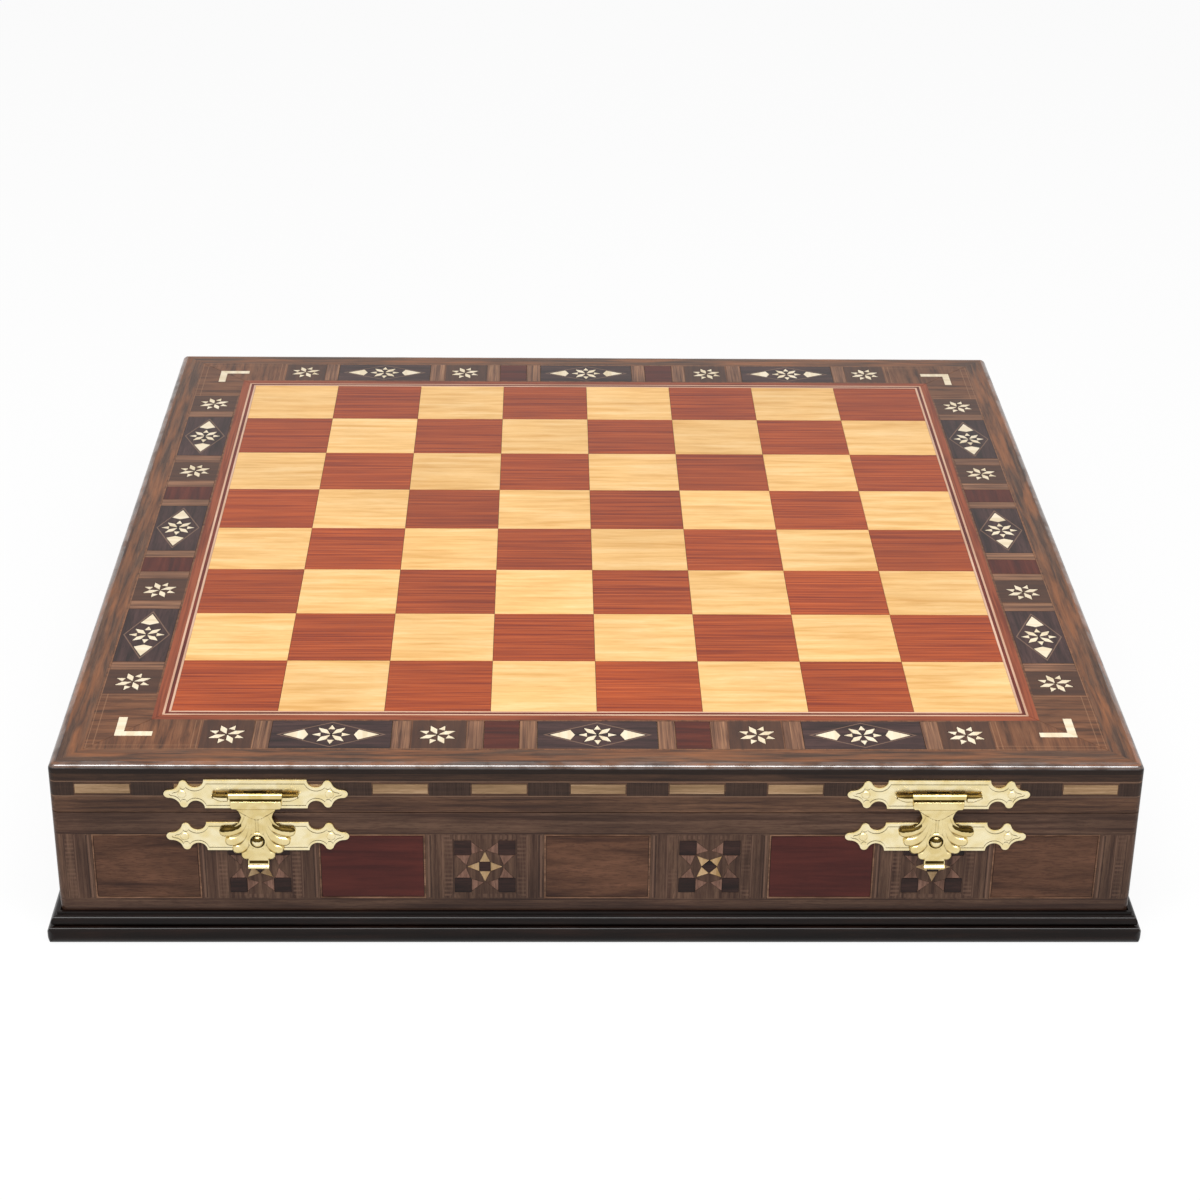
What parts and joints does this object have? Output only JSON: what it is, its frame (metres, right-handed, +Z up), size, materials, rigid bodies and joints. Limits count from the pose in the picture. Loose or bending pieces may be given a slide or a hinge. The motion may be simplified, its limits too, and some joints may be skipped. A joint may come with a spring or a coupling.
{
  "type": "chess box with hinged lid",
  "caption": "Square wooden chess box: a marquetry playing board as its hinged lid, compartments inside, and two brass hasp clasps on the front.",
  "frame": {"origin": "on the floor, under the middle of the square box", "axes": "+Z up, -Y out of the front with the clasps, +Y out of the back with the hinges, +X to the right seen from the front"},
  "size_m": [0.3796, 0.3796, 0.069],
  "materials": {
    "banding": "gloss",
    "black_moulding": "gloss",
    "border_walnut": "gloss",
    "clasp_brass": "polished",
    "dark_chip": "gloss",
    "divider_wood": "satin",
    "felt": "matt",
    "frame_line": "gloss",
    "hinge_brass": "polished",
    "ivory": "gloss",
    "ivory_kite": "gloss",
    "ivory_star": "gloss",
    "lid_maroon": "gloss",
    "light_string": "gloss",
    "maple": "gloss",
    "maroon": "gloss",
    "plywood": "plain",
    "red_string": "gloss",
    "red_wood": "gloss",
    "slate_wood": "gloss",
    "tan_bar": "gloss",
    "tan_chip": "gloss",
    "walnut_dark": "gloss",
    "walnut_panel": "gloss",
    "walnut_rail": "gloss"
  },
  "bodies": {
    "box": {"ball_studs": "clasp_brass", "base_moulding_back": "black_moulding", "base_moulding_front": "black_moulding", "base_moulding_left": "black_moulding", "base_moulding_right": "black_moulding", "bottom_panel": "plywood", "clasp_lower_plate_left": "clasp_brass", "clasp_lower_plate_right": "clasp_brass", "clasp_nails_lower": "clasp_brass", "cross_divider_1": "divider_wood", "cross_divider_2": "divider_wood", "cross_divider_3": "divider_wood", "cross_divider_4": "divider_wood", "cross_divider_5": "divider_wood", "cross_divider_6": "divider_wood", "cross_divider_7": "divider_wood", "floor_lining": "felt", "hinge_body_leaf_left": "hinge_brass", "hinge_body_leaf_right": "hinge_brass", "hinge_pins": "hinge_brass", "hinge_screws_body": "hinge_brass", "long_divider_1": "divider_wood", "long_divider_2": "divider_wood", "long_divider_3": "divider_wood", "mosaic_dark_squares": "dark_chip", "mosaic_ivory_points": "ivory", "mosaic_tan_triangles": "tan_chip", "wall_back": "walnut_dark", "wall_frame_lines": "frame_line", "wall_front": "walnut_dark", "wall_left": "walnut_dark", "wall_maroon_panels": "maroon", "wall_right": "walnut_dark", "wall_walnut_panels": "walnut_panel"},
    "lid": {"banding": "banding", "border_veneer": "border_walnut", "clasp_nails_upper": "clasp_brass", "clasp_upper_plate_left": "clasp_brass", "clasp_upper_plate_right": "clasp_brass", "dark_squares": "red_wood", "hasp_pins": "clasp_brass", "hinge_lid_leaf_left": "hinge_brass", "hinge_lid_leaf_right": "hinge_brass", "hinge_screws_lid": "hinge_brass", "kite_and_corner_inlays": "ivory_kite", "lid_edge_bars": "tan_bar", "lid_lining": "felt", "lid_maroon_panels": "lid_maroon", "lid_panel": "plywood", "lid_rail_back": "walnut_rail", "lid_rail_front": "walnut_rail", "lid_rail_left": "walnut_rail", "lid_rail_right": "walnut_rail", "light_squares": "maple", "lozenge_panels": "slate_wood", "star_inlays": "ivory_star", "stringing_light": "light_string", "stringing_red": "red_string"},
    "hasp_left": {"hasp_left": "clasp_brass"},
    "hasp_right": {"hasp_right": "clasp_brass"}
  },
  "joints": [
    {"name": "lid_hinge", "type": "hinge", "parent": "box", "child": "lid", "pos_m": [0, 0.183, 0.0505], "axis": [-1, 0, 0], "range_deg": [0, 105]},
    {"name": "hasp_left_swing", "type": "hinge", "parent": "lid", "child": "hasp_left", "pos_m": [-0.1155, -0.187, 0.0581], "axis": [-1, 0, 0], "range_deg": [0, 165]},
    {"name": "hasp_right_swing", "type": "hinge", "parent": "lid", "child": "hasp_right", "pos_m": [0.1155, -0.187, 0.0581], "axis": [-1, 0, 0], "range_deg": [0, 165]}
  ]
}
